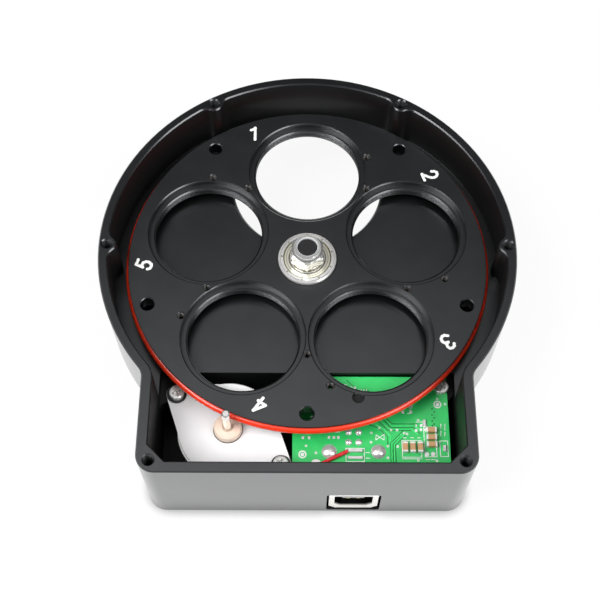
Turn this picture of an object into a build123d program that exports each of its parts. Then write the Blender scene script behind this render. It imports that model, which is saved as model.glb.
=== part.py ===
"""Five-position motorised filter wheel, cover removed.

Origin: centre of the optical aperture on the camera-side face of the round body.
+Z points out of the open side, along the optical axis. The USB wall faces -Y.
All sizes in millimetres.
"""
import os
from math import cos, radians, sin

from build123d import *

# ---------------------------------------------------------------- housing
chamber_gap = 3.4            # around the drive ring
rim_wall = 2.35              # wall of the round body
body_height = 20.0           # camera-side face to rim
floor_thickness = 6.0        # floor that carries the wheel and the aperture thread
box_wall = 2.7               # electronics box
ear_wall_gap = 1.85          # motor washer to the side wall
motor_gap = 0.85             # motor can to the USB wall
motor_rear_gap = 2.15        # motor can to the rear face of the bay
box_drop = 10.0              # how far the box reaches below the camera-side face
box_floor = 1.2
box_corner_radius = 4.5
neck_fillet = 4.0            # where the round body runs into the box sides
bay_corner = 4.1             # flat across the inside corners, around the cover-screw holes
edge_break = 0.3
countersink_angle = 90

cover_screw_inset = 2.05     # cover-screw holes, from the outside of the round body
cover_corner_inset_x = 3.1   # and from the outside of the box
cover_corner_inset_y = 3.0
cover_boss_radius = 2.4
tapped_m3 = 1.25             # radius before tapping
cover_screw_depth = 8.0
screw_hole_depth = 6.0       # holes for the motor and board screws

aperture_radius = 20.5       # M42 x 0.75 female thread, crest radius
cutter_radius = 3.0          # inside corners left by the milling cutter
pad_cutter_radius = 2.5
motor_pad_length = 7.1       # from the rear face of the bay

# ---------------------------------------------------------------- filter wheel
pocket_count = 5
pocket_web = 0.834           # between neighbouring filter seats
wheel_edge = 3.15            # between filter seats and the wheel's edge
wheel_thickness = 4.0
wheel_gap = 2.2              # under the wheel, above the floor
filter_seat_radius = 15.6    # drops in a 31 mm unmounted filter
filter_seat_depth = 1.5
filter_thread_radius = 14.1  # M28.5 x 0.6 female thread, crest radius
retaining_outer_radius = 35.7
retaining_outer_angle = -26.8   # from each filter centre
retaining_inner_radius = 26.85
retaining_hole = 0.9
light_hole_inset = 3.45      # plain holes between the filters, from the wheel's edge
light_hole = 1.7
magnet_inset = 5.7
magnet_angle = -72.0
magnet_radius = 1.5
magnet_height = 2.0

ring_section = 1.0           # section radius of the rubber drive ring
ring_clearance = 0.02

# ---------------------------------------------------------------- wheel bearing, 6 x 15 x 5
bearing_outer = 7.5
bearing_bore = 3.0
bearing_width = 5.0
bearing_proud = 1.0          # how far it stands above the wheel's top face
inner_ring_radius = 4.5
outer_ring_inner = 6.0
ball_radius = 1.0
ball_count = 7
ball_clearance = 0.06
cage_inner = 4.85
cage_outer = 5.65
cage_half_height = 1.35
shield_inner = 4.65
shield_outer = 6.2
shield_thickness = 0.25
shield_recess = 0.2
fit_clearance = 0.03         # parts pressed or screwed together

stud_thread = 2.5            # M5, both ends
stud_root_length = 5.0       # screwed into the floor
stud_flange = 4.2
washer_radius = 4.05
washer_thickness = 0.6
nut_across_flats = 8.0
nut_height = 5.0             # with the collar
nut_shoulder = 3.3           # hexagon height, below the collar
nut_edge = 0.35
nut_collar = 3.4             # collar radius at the top
nut_lip = 2.9                # opening crimped over the locking insert
nut_lip_height = 0.3
insert_radius = 3.15
insert_height = 1.2
stud_top_below_nut = 0.3

# ---------------------------------------------------------------- stepper motor
shaft_radius = 1.0
drive_gap = 0.05             # unloaded, between shaft and drive ring
motor_angle = -113.8         # of the shaft, about the wheel axis
ear_angle = -35.0            # line through the two mounting ears
ear_pitch = 32.0
ear_radius = 2.6
motor_radius = 12.5
plate_radius = 12.0
plate_thickness = 0.8
plate_top = 5.0              # above the camera-side face
can_height = 12.4
can_wall = 0.8
bush_radius = 3.5
bush_height = 1.8
bush_body_radius = 2.2
bush_body_length = 2.8
bush_recess = 1.45           # countersunk mouth around the shaft
shaft_below_rim = 4.4        # shaft end under the rim plane
rotor_radius = 5.4
rotor_length = 6.0
rotor_gap = 0.3
running_clearance = 0.03
stator_slot = 1.2            # between the two coils
stator_slot_depth = 2.5

screw_shank = 0.95           # M2, motor and board
screw_head = 1.9
screw_head_height = 1.3
screw_head_edge = 0.35
screw_length = 7.0
washer_black_radius = 2.45
washer_black_thickness = 0.4

# ---------------------------------------------------------------- circuit board
board_left = -3.55
board_side_gap = 1.7         # to the side wall
board_end_gap = 0.3          # to the USB wall and the rear face
board_thickness = 1.6
board_top = 4.5
board_screw_inset_left = 3.35
board_screw_inset_right = 1.5
board_screw_inset_back = 3.0
board_boss_radius = 3.3
board_notch = 2.6            # right front corner, clear of the cover-screw boss
screw_clearance = 1.1

usb_x = 11.5
usb_width = 12.04            # USB-B, hung under the board with its keyed corners down
usb_height = 10.9
usb_depth = 16.0
usb_setback = 0.3            # socket face behind the outside of the wall
usb_wall = 1.35
usb_floor = 1.8
usb_roof = 0.7
usb_key = 1.6                # the two cut corners
usb_cavity_depth = 9.0
usb_back_wall = 0.4          # sheet around the insulator, behind the cavity
usb_opening_width = 13.2
usb_opening_corner = 0.8
usb_opening_rise = 0.1       # its top edge above the underside of the board
usb_tab_back = 10.3          # shield tabs behind the socket face
usb_tab_width = 1.6
usb_tab_thickness = 0.5
usb_tab_hole = 1.15
tongue_width = 5.4
tongue_height = 3.2
tongue_length = 8.2
tongue_below_roof = 1.5
contact_width = 0.8
contact_thickness = 0.3
contact_x = (-1.25, 1.25)    # pin columns and rows of the socket, from its centre and face
contact_back = (12.7, 15.3)
contact_pin = 0.35
contact_hole = 0.5

tab_solder_radius = 1.85
tab_solder_height = 0.8
pin_solder_radius = 0.85
pin_solder_height = 0.5

cap_width = 1.25             # ceramic capacitors
cap_length = 2.6
cap_height = 1.3
cap_pitch = 1.85
cap_upright_inset = (9.2, 8.5)     # middle of each row, from the right and front edges
cap_flat_inset = (4.5, 11.1)
cap_count = 3
land_x = 11.8                # tinned lands of the motor winding
land_insets = (7.7, 5.9)     # from the front edge
land_length = 3.6
land_width = 0.8
chip_length = 1.6
chip_width = 0.8
chip_height = 0.6
chip_insets = ((6.1, 15.0), (9.4, 19.6), (1.4, 8.4))
part_edge = 0.1

controller_size = 7.0
controller_height = 1.0
controller_inset = (22.1, 20.5)
driver_length = 5.0
driver_width = 4.0
driver_height = 1.4
driver_inset = (32.1, 16.0)
hall_length = 2.9
hall_width = 1.6
hall_height = 1.1
hall_inset = (14.5, 22.3)

lead_radius = 0.45           # insulated wire from the lands to the motor
lead_lift = 0.5              # its centre above the board
lead_start_inset = 7.55      # beside the lands
lead_wall_x = -3.7           # where it reaches the front wall
lead_wall_gap = 0.9          # its centre from the wall
lead_entry_angle = -60.0     # on the motor can
lead_entry_z = -2.0
lead_entry_run = 1.8
lead_bends = (14.0, 3.5, 1.4)

# ---------------------------------------------------------------- derived places
pocket_pitch_radius = (filter_seat_radius + pocket_web / 2) / sin(radians(180 / pocket_count))
wheel_radius = pocket_pitch_radius + filter_seat_radius + wheel_edge
light_hole_radius = wheel_radius - light_hole_inset
magnet_radius_from_axis = wheel_radius - magnet_inset
wheel_y = -pocket_pitch_radius
floor_top = floor_thickness
wheel_bottom = floor_top + wheel_gap
wheel_top = wheel_bottom + wheel_thickness
ring_z = wheel_bottom + wheel_thickness / 2
ring_outer = wheel_radius + ring_section
body_inner = ring_outer + chamber_gap
body_radius = body_inner + rim_wall
cover_screw_radius = body_radius - cover_screw_inset
box_bottom = -box_drop
bay_floor = box_bottom + box_floor
bearing_bottom = wheel_top + bearing_proud - bearing_width
bearing_top = bearing_bottom + bearing_width
bearing_mid = bearing_bottom + bearing_width / 2
board_bottom = board_top - board_thickness
shaft_from_axis = ring_outer + shaft_radius + drive_gap
motor_x = shaft_from_axis * cos(radians(motor_angle))
motor_y = wheel_y + shaft_from_axis * sin(radians(motor_angle))
ear_dx = ear_pitch / 2 * cos(radians(ear_angle))
ear_dy = ear_pitch / 2 * sin(radians(ear_angle))
inner_half = ear_dx - motor_x + washer_black_radius + ear_wall_gap
box_width = 2 * (inner_half + box_wall)
bay_back = wheel_y - motor_y - motor_radius - motor_rear_gap
inner_front = wheel_y - motor_y + motor_radius + motor_gap
box_front = inner_front + box_wall
board_right = inner_half - board_side_gap
board_back = bay_back + board_end_gap
board_front = inner_front - board_end_gap
board_screw_x = (board_left + board_screw_inset_left, board_right - board_screw_inset_right)
board_screw_y = board_back + board_screw_inset_back
lead_start_x = land_x - land_length / 2
motor_pad_front = bay_back + motor_pad_length
plate_bottom = plate_top - plate_thickness
can_bottom = plate_bottom - can_height
stud_root_bottom = floor_top - stud_root_length
nut_bottom = bearing_top + washer_thickness
nut_top = nut_bottom + nut_height
nut_corner = nut_across_flats / 2 / cos(radians(30))
stud_top = nut_top - stud_top_below_nut
ball_pitch = (inner_ring_radius + outer_ring_inner) / 2
race_radius = ball_radius + ball_clearance
wheel_axis = Axis((0, wheel_y, 0), (0, 0, 1))


def wheel_plane(z):
    """XY plane at height z with its origin on the wheel axis."""
    return Plane(origin=(0, wheel_y, z))


def motor_plane(z):
    """Plane at height z on the motor axis, X along the line of the ears."""
    return Plane(origin=(motor_x, motor_y, z), x_dir=(ear_dx, ear_dy, 0), z_dir=(0, 0, 1))


def finish(part, name):
    """Label a finished piece and write its STEP file."""
    part.label = name
    export_step(part, f"parts/{name}.step")


os.makedirs("parts", exist_ok=True)

def section_plane():
    """XZ plane through the wheel axis, for turned outlines."""
    return Plane(origin=(0, wheel_y, 0), x_dir=(1, 0, 0), z_dir=(0, -1, 0))


def circle_edges(part, radius):
    """Full-circle edges of one radius."""
    return part.edges().filter_by(GeomType.CIRCLE).filter_by(lambda e: abs(e.radius - radius) < 0.001)


def on_wheel(radius, angle):
    """Point on the wheel from polar values."""
    return radius * cos(radians(angle)), radius * sin(radians(angle))


# ================================================================ fixed body
# ---------------------------------------------------------------- housing
cover_screws = [on_wheel(cover_screw_radius, angle) for angle in (0, 60, 120, 180)]
corner_screws = [
    (side * (box_width / 2 - cover_corner_inset_x), cover_corner_inset_y - box_front) for side in (-1, 1)
]
ears = [(-ear_pitch / 2, 0), (ear_pitch / 2, 0)]
pad_right = motor_x - ear_dx + ear_radius
post_x = motor_x + ear_dx
post_y = motor_y - wheel_y + ear_dy
board_screws_at = [(x, -board_screw_y) for x in board_screw_x]
opening_top = board_bottom + usb_opening_rise
opening_height = opening_top - bay_floor

with BuildPart() as housing:
    with BuildSketch(wheel_plane(0)) as body_outline:
        Circle(body_radius)
        with Locations((0, -box_front / 2)):
            Rectangle(box_width, box_front)
        fillet(body_outline.vertices().group_by(Axis.Y)[1], neck_fillet)
        fillet(body_outline.vertices().group_by(Axis.Y)[0], box_corner_radius)
    extrude(amount=body_height)

    with BuildSketch(wheel_plane(box_bottom)) as box_outline:
        with Locations((0, -(box_front + bay_back - box_wall) / 2)):
            Rectangle(box_width, box_front - bay_back + box_wall)
        fillet(box_outline.vertices(), box_corner_radius)
    extrude(amount=box_drop)

    # Chamber for the wheel, with the screw bosses left standing in its wall
    with BuildSketch(wheel_plane(floor_top)) as chamber:
        Circle(body_inner)
        with Locations((0, -inner_front / 2)):
            Rectangle(2 * inner_half, inner_front)
        fillet(chamber.vertices().group_by(Axis.Y)[1], neck_fillet + rim_wall)
        chamfer(chamber.vertices().group_by(Axis.Y)[0], bay_corner)
        with Locations(*cover_screws):
            Circle(cover_boss_radius, mode=Mode.SUBTRACT)
        boss_roots = chamber.vertices().filter_by(lambda v: v.Y > -cutter_radius)
        fillet(boss_roots, cutter_radius)
    extrude(amount=body_height, mode=Mode.SUBTRACT)

    # Deep bay for motor and board; pads and posts stay as high as the floor for now
    with BuildSketch(wheel_plane(bay_floor)) as bay:
        with Locations((0, -(inner_front + bay_back) / 2)):
            Rectangle(2 * inner_half, inner_front - bay_back)
        chamfer(bay.vertices().group_by(Axis.Y)[0], bay_corner)
        fillet(bay.vertices().group_by(Axis.Y)[-1].sort_by(Axis.X)[-1], cutter_radius)
        with Locations(((pad_right - inner_half) / 2, -(bay_back + motor_pad_front) / 2)):
            Rectangle(pad_right + inner_half, motor_pad_front - bay_back, mode=Mode.SUBTRACT)
        pad_root = bay.vertices().sort_by_distance((-inner_half, -motor_pad_front, 0))[0]
        fillet(pad_root, pad_cutter_radius)
        with Locations((post_x, post_y)):
            Circle(ear_radius, mode=Mode.SUBTRACT)
        with Locations((post_x, (post_y - inner_front) / 2)):
            Rectangle(ear_radius, post_y + inner_front, mode=Mode.SUBTRACT)
        with Locations(*board_screws_at):
            Circle(board_boss_radius, mode=Mode.SUBTRACT)
        with Locations(*[(x, -(board_screw_y + bay_back) / 2) for x in board_screw_x]):
            Rectangle(2 * board_boss_radius, board_screw_y - bay_back, mode=Mode.SUBTRACT)
    extrude(amount=floor_top - bay_floor, mode=Mode.SUBTRACT)

    # Pads and posts milled down to the seats of motor and board
    with BuildSketch(wheel_plane(plate_bottom)) as motor_seats:
        with Locations((0, -(inner_front + bay_back) / 2)):
            Rectangle(2 * inner_half, inner_front - bay_back)
        chamfer(motor_seats.vertices().group_by(Axis.Y)[0], bay_corner)
    extrude(amount=floor_top - plate_bottom, mode=Mode.SUBTRACT)
    with BuildSketch(wheel_plane(board_bottom)):
        with Locations(((board_left + inner_half) / 2, -(board_front + bay_back) / 2)):
            Rectangle(inner_half - board_left, board_front - bay_back)
    extrude(amount=plate_bottom - board_bottom, mode=Mode.SUBTRACT)

    rim = housing.faces().filter_by(Axis.Z).sort_by(Axis.Z)[-1]
    chamfer(rim.edges(), edge_break)
    box_underside = housing.faces().filter_by(Axis.Z).sort_by(Axis.Z)[0]
    chamfer(box_underside.edges(), edge_break)

    # Aperture with the camera-side thread
    with BuildSketch(Plane.XY):
        Circle(aperture_radius)
    extrude(amount=floor_thickness, mode=Mode.SUBTRACT)
    chamfer(circle_edges(housing, aperture_radius).sort_by(Axis.Z)[-1], edge_break)

    # USB cut-out in the front wall
    with BuildSketch(Plane(
            origin=(usb_x, wheel_y - box_front, opening_top - opening_height / 2),
            x_dir=(1, 0, 0), z_dir=(0, -1, 0))):
        RectangleRounded(usb_opening_width, opening_height, usb_opening_corner)
    extrude(amount=-box_wall, mode=Mode.SUBTRACT)

    # Tapped holes: cover, wheel stud, motor and board
    with Locations(wheel_plane(body_height)):
        with Locations(*cover_screws, *corner_screws):
            CounterSinkHole(tapped_m3, tapped_m3 + edge_break, cover_screw_depth, countersink_angle)
    with Locations(wheel_plane(floor_top)):
        Hole(stud_thread + fit_clearance, depth=stud_root_length)
    with Locations(motor_plane(plate_bottom)):
        with Locations(*ears):
            Hole(screw_shank + fit_clearance, depth=screw_hole_depth)
    with Locations(wheel_plane(board_bottom)):
        with Locations(*board_screws_at):
            Hole(screw_shank + fit_clearance, depth=screw_hole_depth)
finish(housing.part, "housing")

# ---------------------------------------------------------------- wheel stud, washer and nut
with BuildPart() as wheel_stud:
    with BuildSketch(wheel_plane(stud_root_bottom)):
        Circle(stud_thread)
    extrude(amount=stud_root_length)
    with BuildSketch(wheel_plane(floor_top)):
        Circle(stud_flange)
    extrude(amount=bearing_bottom - floor_top)
    with BuildSketch(wheel_plane(bearing_bottom)):
        Circle(bearing_bore - fit_clearance)
    extrude(amount=bearing_width)
    with BuildSketch(wheel_plane(bearing_top)):
        Circle(stud_thread)
    extrude(amount=stud_top - bearing_top)
    chamfer(wheel_stud.faces().sort_by(Axis.Z)[-1].edges(), edge_break)
finish(wheel_stud.part, "wheel_stud")

with BuildPart() as wheel_washer:
    with BuildSketch(wheel_plane(bearing_top)):
        Circle(washer_radius)
        Circle(stud_thread + fit_clearance, mode=Mode.SUBTRACT)
    extrude(amount=washer_thickness)
finish(wheel_washer.part, "wheel_washer")

with BuildPart() as wheel_nut:
    with BuildSketch(wheel_plane(nut_bottom)):
        RegularPolygon(nut_across_flats / 2, 6, major_radius=False, rotation=30)
    extrude(amount=nut_height)
    # Bevelled hexagon and domed collar, cut by the turned outline
    with BuildSketch(section_plane()):
        with BuildLine():
            flats = nut_across_flats / 2
            Polyline(
                (0, nut_top), (0, nut_bottom), (flats, nut_bottom), (nut_corner, nut_bottom + nut_edge),
                (nut_corner, nut_bottom + nut_shoulder),
                (flats, nut_bottom + nut_shoulder + nut_edge))
            TangentArc(
                (flats, nut_bottom + nut_shoulder + nut_edge), (nut_collar, nut_top), tangent=(0, 1))
            Line((nut_collar, nut_top), (0, nut_top))
        make_face()
    revolve(axis=wheel_axis, mode=Mode.INTERSECT)
    with BuildSketch(wheel_plane(nut_bottom)):
        Circle(stud_thread + fit_clearance)
    extrude(amount=nut_height, mode=Mode.SUBTRACT)
    with BuildSketch(wheel_plane(nut_top)):
        Circle(nut_lip)
    extrude(amount=-nut_lip_height, mode=Mode.SUBTRACT)
    with BuildSketch(wheel_plane(nut_top - nut_lip_height)):
        Circle(insert_radius)
    extrude(amount=-insert_height, mode=Mode.SUBTRACT)
finish(wheel_nut.part, "wheel_nut")

with BuildPart() as nut_insert:
    with BuildSketch(wheel_plane(nut_top - nut_lip_height)):
        Circle(insert_radius)
        Circle(stud_thread + fit_clearance, mode=Mode.SUBTRACT)
    extrude(amount=-insert_height)
finish(nut_insert.part, "nut_insert")

# ================================================================ wheel bearing
with BuildPart() as bearing_inner_ring:
    with BuildSketch(section_plane()):
        with Locations(((bearing_bore + inner_ring_radius) / 2, bearing_mid)):
            Rectangle(inner_ring_radius - bearing_bore, bearing_width)
        with Locations((ball_pitch, bearing_mid)):
            Circle(race_radius, mode=Mode.SUBTRACT)
    revolve(axis=wheel_axis)
finish(bearing_inner_ring.part, "bearing_inner_ring")

shield_seat = shield_recess + shield_thickness
shield_heights = {
    "bearing_shield_top": bearing_top - shield_seat,
    "bearing_shield_bottom": bearing_bottom + shield_recess,
}

with BuildPart() as bearing_outer_ring:
    with BuildSketch(section_plane()):
        with Locations(((bearing_outer + outer_ring_inner) / 2, bearing_mid)):
            Rectangle(bearing_outer - outer_ring_inner, bearing_width)
        with Locations((ball_pitch, bearing_mid)):
            Circle(race_radius, mode=Mode.SUBTRACT)
        # Rebates that hold the shields
        with Locations((shield_outer / 2, bearing_top - shield_seat / 2),
                       (shield_outer / 2, bearing_bottom + shield_seat / 2)):
            Rectangle(shield_outer, shield_seat, mode=Mode.SUBTRACT)
    revolve(axis=wheel_axis)
    chamfer(circle_edges(bearing_outer_ring, bearing_outer), edge_break)
finish(bearing_outer_ring.part, "bearing_outer_ring")

for shield_name, shield_z in shield_heights.items():
    with BuildPart() as bearing_shield:
        with BuildSketch(wheel_plane(shield_z)):
            Circle(shield_outer)
            Circle(shield_inner, mode=Mode.SUBTRACT)
        extrude(amount=shield_thickness)
    finish(bearing_shield.part, shield_name)

with BuildPart() as bearing_balls:
    with Locations(wheel_plane(bearing_mid)):
        with PolarLocations(ball_pitch, ball_count):
            Sphere(ball_radius)
finish(bearing_balls.part, "bearing_balls")

with BuildPart() as bearing_cage:
    with BuildSketch(wheel_plane(bearing_mid - cage_half_height)):
        Circle(cage_outer)
        Circle(cage_inner, mode=Mode.SUBTRACT)
    extrude(amount=2 * cage_half_height)
    with Locations(wheel_plane(bearing_mid)):
        with PolarLocations(ball_pitch, ball_count):
            Cylinder(race_radius, 2 * ball_radius, rotation=(0, 90, 0), mode=Mode.SUBTRACT)
finish(bearing_cage.part, "bearing_cage")

# ================================================================ filter wheel
with BuildPart() as filter_wheel:
    with BuildSketch(wheel_plane(wheel_bottom)):
        Circle(wheel_radius)
        Circle(bearing_outer + fit_clearance, mode=Mode.SUBTRACT)
        with PolarLocations(pocket_pitch_radius, pocket_count, start_angle=90):
            Circle(filter_thread_radius, mode=Mode.SUBTRACT)
        with PolarLocations(retaining_outer_radius, pocket_count, start_angle=90 + retaining_outer_angle):
            Circle(retaining_hole, mode=Mode.SUBTRACT)
        with PolarLocations(retaining_inner_radius, pocket_count, start_angle=90 + 180 / pocket_count):
            Circle(retaining_hole, mode=Mode.SUBTRACT)
        with PolarLocations(light_hole_radius, pocket_count, start_angle=90 + 180 / pocket_count):
            Circle(light_hole, mode=Mode.SUBTRACT)
    extrude(amount=wheel_thickness)
    chamfer(circle_edges(filter_wheel, wheel_radius), edge_break)

    # Seats for the unmounted filters
    with BuildSketch(wheel_plane(wheel_top)):
        with PolarLocations(pocket_pitch_radius, pocket_count, start_angle=90):
            Circle(filter_seat_radius)
    extrude(amount=-filter_seat_depth, mode=Mode.SUBTRACT)

    # Pocket of the index magnet
    with BuildSketch(wheel_plane(wheel_top)):
        with Locations(on_wheel(magnet_radius_from_axis, magnet_angle)):
            Circle(magnet_radius + fit_clearance)
    extrude(amount=-filter_seat_depth - magnet_height, mode=Mode.SUBTRACT)

    # Half-round groove for the drive ring
    with BuildSketch(section_plane()):
        with Locations((wheel_radius, ring_z)):
            Circle(ring_section + ring_clearance)
    revolve(axis=wheel_axis, mode=Mode.SUBTRACT)
finish(filter_wheel.part, "filter_wheel")

with BuildPart() as drive_ring:
    with BuildSketch(section_plane()):
        with Locations((wheel_radius, ring_z)):
            Circle(ring_section)
    revolve(axis=wheel_axis)
finish(drive_ring.part, "drive_ring")

with BuildPart() as index_magnet:
    with BuildSketch(wheel_plane(wheel_top - filter_seat_depth)):
        with Locations(on_wheel(magnet_radius_from_axis, magnet_angle)):
            Circle(magnet_radius)
    extrude(amount=-magnet_height)
finish(index_magnet.part, "index_magnet")

# ================================================================ stepper motor
with BuildPart() as motor_can:
    with BuildSketch(motor_plane(can_bottom)):
        Circle(motor_radius)
    extrude(amount=can_height)
    fillet(motor_can.faces().sort_by(Axis.Z)[0].edges(), can_wall)
    with BuildSketch(motor_plane(can_bottom + can_wall)):
        Circle(motor_radius - can_wall)
    extrude(amount=can_height, mode=Mode.SUBTRACT)
    with BuildSketch(motor_plane(can_bottom)):
        Circle(bush_body_radius + fit_clearance)
    extrude(amount=can_wall, mode=Mode.SUBTRACT)
finish(motor_can.part, "motor_can")

with BuildPart() as motor_plate:
    with BuildSketch(motor_plane(plate_bottom)):
        Circle(plate_radius)
        with Locations(*ears):
            Circle(ear_radius)
        make_hull()
        Circle(bush_body_radius + fit_clearance, mode=Mode.SUBTRACT)
        with Locations(*ears):
            Circle(screw_clearance, mode=Mode.SUBTRACT)
    extrude(amount=plate_thickness)
finish(motor_plate.part, "motor_plate")

bore = shaft_radius + running_clearance

with BuildPart() as motor_front_bush:
    with BuildSketch(motor_plane(plate_top)):
        Circle(bush_radius)
    extrude(amount=bush_height)
    chamfer(motor_front_bush.faces().sort_by(Axis.Z)[-1].edges(), edge_break)
    with BuildSketch(motor_plane(plate_top)):
        Circle(bush_body_radius)
    extrude(amount=-bush_body_length)
    with Locations(motor_plane(plate_top + bush_height)):
        CounterSinkHole(bore, bush_recess, bush_height + bush_body_length, countersink_angle)
finish(motor_front_bush.part, "motor_front_bush")

with BuildPart() as motor_rear_bush:
    with BuildSketch(motor_plane(can_bottom)):
        Circle(bush_body_radius)
        Circle(bore, mode=Mode.SUBTRACT)
    extrude(amount=bush_body_length)
finish(motor_rear_bush.part, "motor_rear_bush")

stator_bottom = can_bottom + can_wall
stator_middle = (stator_bottom + plate_bottom) / 2
stator_outer = motor_radius - can_wall - fit_clearance

with BuildPart() as motor_stator:
    with BuildSketch(motor_plane(stator_bottom)):
        Circle(stator_outer)
        Circle(rotor_radius + rotor_gap, mode=Mode.SUBTRACT)
    extrude(amount=plate_bottom - stator_bottom)
    with BuildSketch(motor_plane(stator_middle - stator_slot / 2)):
        Circle(stator_outer)
        Circle(stator_outer - stator_slot_depth, mode=Mode.SUBTRACT)
    extrude(amount=stator_slot, mode=Mode.SUBTRACT)
finish(motor_stator.part, "motor_stator")

with BuildPart() as motor_shaft:
    with BuildSketch(motor_plane(can_bottom)):
        Circle(shaft_radius)
    extrude(amount=body_height - shaft_below_rim - can_bottom)
    chamfer(motor_shaft.faces().sort_by(Axis.Z)[-1].edges(), edge_break)
finish(motor_shaft.part, "motor_shaft")

with BuildPart() as motor_rotor:
    with BuildSketch(motor_plane(stator_middle - rotor_length / 2)):
        Circle(rotor_radius)
        Circle(shaft_radius, mode=Mode.SUBTRACT)
    extrude(amount=rotor_length)
finish(motor_rotor.part, "motor_rotor")


# ================================================================ circuit board
usb_face = -box_front + usb_setback
usb_tabs = [(usb_x + side * usb_width / 2, usb_face + usb_tab_back) for side in (-1, 1)]
usb_pins = [(usb_x + x, usb_face + back) for x in contact_x for back in contact_back]

with BuildPart() as circuit_board:
    with BuildSketch(wheel_plane(board_bottom)) as board_outline:
        with Locations(((board_left + board_right) / 2, -(board_back + board_front) / 2)):
            Rectangle(board_right - board_left, board_front - board_back)
        front_right = board_outline.vertices().group_by(Axis.Y)[0].sort_by(Axis.X)[-1]
        chamfer(front_right, board_notch)
        with Locations(*board_screws_at):
            Circle(screw_clearance, mode=Mode.SUBTRACT)
        with Locations(*usb_tabs):
            Circle(usb_tab_hole, mode=Mode.SUBTRACT)
        with Locations(*usb_pins):
            Circle(contact_hole, mode=Mode.SUBTRACT)
    extrude(amount=board_thickness)
finish(circuit_board.part, "circuit_board")

# ---------------------------------------------------------------- USB-B socket
socket_plane = Plane(
    origin=(usb_x, wheel_y + usb_face, board_bottom), x_dir=(1, 0, 0), z_dir=(0, -1, 0))
socket_back = Plane(
    origin=(usb_x, wheel_y + usb_face + usb_depth, board_bottom), x_dir=(1, 0, 0), z_dir=(0, -1, 0))
cavity_back = usb_depth - usb_cavity_depth
tongue_top = -usb_roof - tongue_below_roof
tongue_bottom = tongue_top - tongue_height
insulator_width = usb_width - 2 * usb_back_wall


with BuildPart() as usb_shell:
    with BuildSketch(socket_plane) as shell_outline:
        with Locations((0, -usb_height / 2)):
            Rectangle(usb_width, usb_height)
        chamfer(shell_outline.vertices().group_by(Axis.Y)[0], usb_key)
    extrude(amount=-usb_depth)
    with BuildSketch(socket_plane) as cavity_outline:
        with Locations((0, -(usb_height + usb_roof - usb_floor) / 2)):
            Rectangle(usb_width - 2 * usb_wall, usb_height - usb_roof - usb_floor)
        chamfer(cavity_outline.vertices().group_by(Axis.Y)[0], usb_key)
    extrude(amount=-usb_cavity_depth, mode=Mode.SUBTRACT)
    # Sheet-metal box open towards the board, for the insulator
    with BuildSketch(socket_back) as insulator_outline:
        with Locations((0, -(usb_height - usb_back_wall) / 2)):
            Rectangle(insulator_width, usb_height - usb_back_wall)
        chamfer(insulator_outline.vertices().group_by(Axis.Y)[0], usb_key)
    extrude(amount=cavity_back, mode=Mode.SUBTRACT)
    with BuildSketch(wheel_plane(board_bottom)):
        with Locations(*usb_tabs):
            Rectangle(usb_tab_thickness, usb_tab_width)
    extrude(amount=board_thickness)
finish(usb_shell.part, "usb_shell")

with BuildPart() as usb_contacts:
    for contact, (surface, back) in enumerate(zip((tongue_top, tongue_bottom), contact_back)):
        lift = contact_thickness / 2 if contact == 0 else -contact_thickness / 2
        with BuildSketch(Plane(socket_plane.from_local_coords((0, 0, -(usb_cavity_depth - tongue_length))),
                               x_dir=(1, 0, 0), z_dir=(0, -1, 0))):
            with Locations(*[(x, surface + lift) for x in contact_x]):
                Rectangle(contact_width, contact_thickness)
        extrude(amount=-(back - usb_cavity_depth + tongue_length + contact_pin))
        with BuildSketch(wheel_plane(board_bottom + surface)):
            with Locations(*[(usb_x + x, usb_face + back) for x in contact_x]):
                Circle(contact_pin)
        extrude(amount=board_thickness - surface)
finish(usb_contacts.part, "usb_contacts")

with BuildPart() as usb_tongue:
    with BuildSketch(socket_back):
        add(insulator_outline.sketch_local)
    extrude(amount=cavity_back)
    with BuildSketch(Plane(socket_plane.from_local_coords((0, 0, -usb_cavity_depth)),
                           x_dir=(1, 0, 0), z_dir=(0, -1, 0))):
        with Locations((0, (tongue_top + tongue_bottom) / 2)):
            Rectangle(tongue_width, tongue_height)
    extrude(amount=tongue_length)
    add(usb_contacts.part, mode=Mode.SUBTRACT)
finish(usb_tongue.part, "usb_tongue")

# ---------------------------------------------------------------- joints and chips
with BuildPart() as solder_joints:
    for places, radius, height in (
            (usb_tabs, tab_solder_radius, tab_solder_height),
            (usb_pins, pin_solder_radius, pin_solder_height)):
        ball = (radius ** 2 + height ** 2) / (2 * height)
        with Locations(*[(x, wheel_y + y, board_top + height - ball) for x, y in places]):
            Sphere(ball)
    split(bisect_by=wheel_plane(board_top), keep=Keep.TOP)
finish(solder_joints.part, "solder_joints")


def on_board(inset):
    """Place on the board from its right and front edges."""
    return board_right - inset[0], inset[1] - board_front


def row(centre, pitch, count):
    """Equally spaced values about a middle one."""
    return [centre + (i - (count - 1) / 2) * pitch for i in range(count)]


def block_set(places, height, edge):
    """Rectangular parts on the board: (x, y, length along X, length along Y) each."""
    with BuildPart() as blocks:
        for x, y, along_x, along_y in places:
            with BuildSketch(wheel_plane(board_top)):
                with Locations((x, y)):
                    Rectangle(along_x, along_y)
            extrude(amount=height)
        chamfer(blocks.faces().filter_by(Axis.Z).group_by(Axis.Z)[-1].edges(), edge)
    return blocks.part


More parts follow.
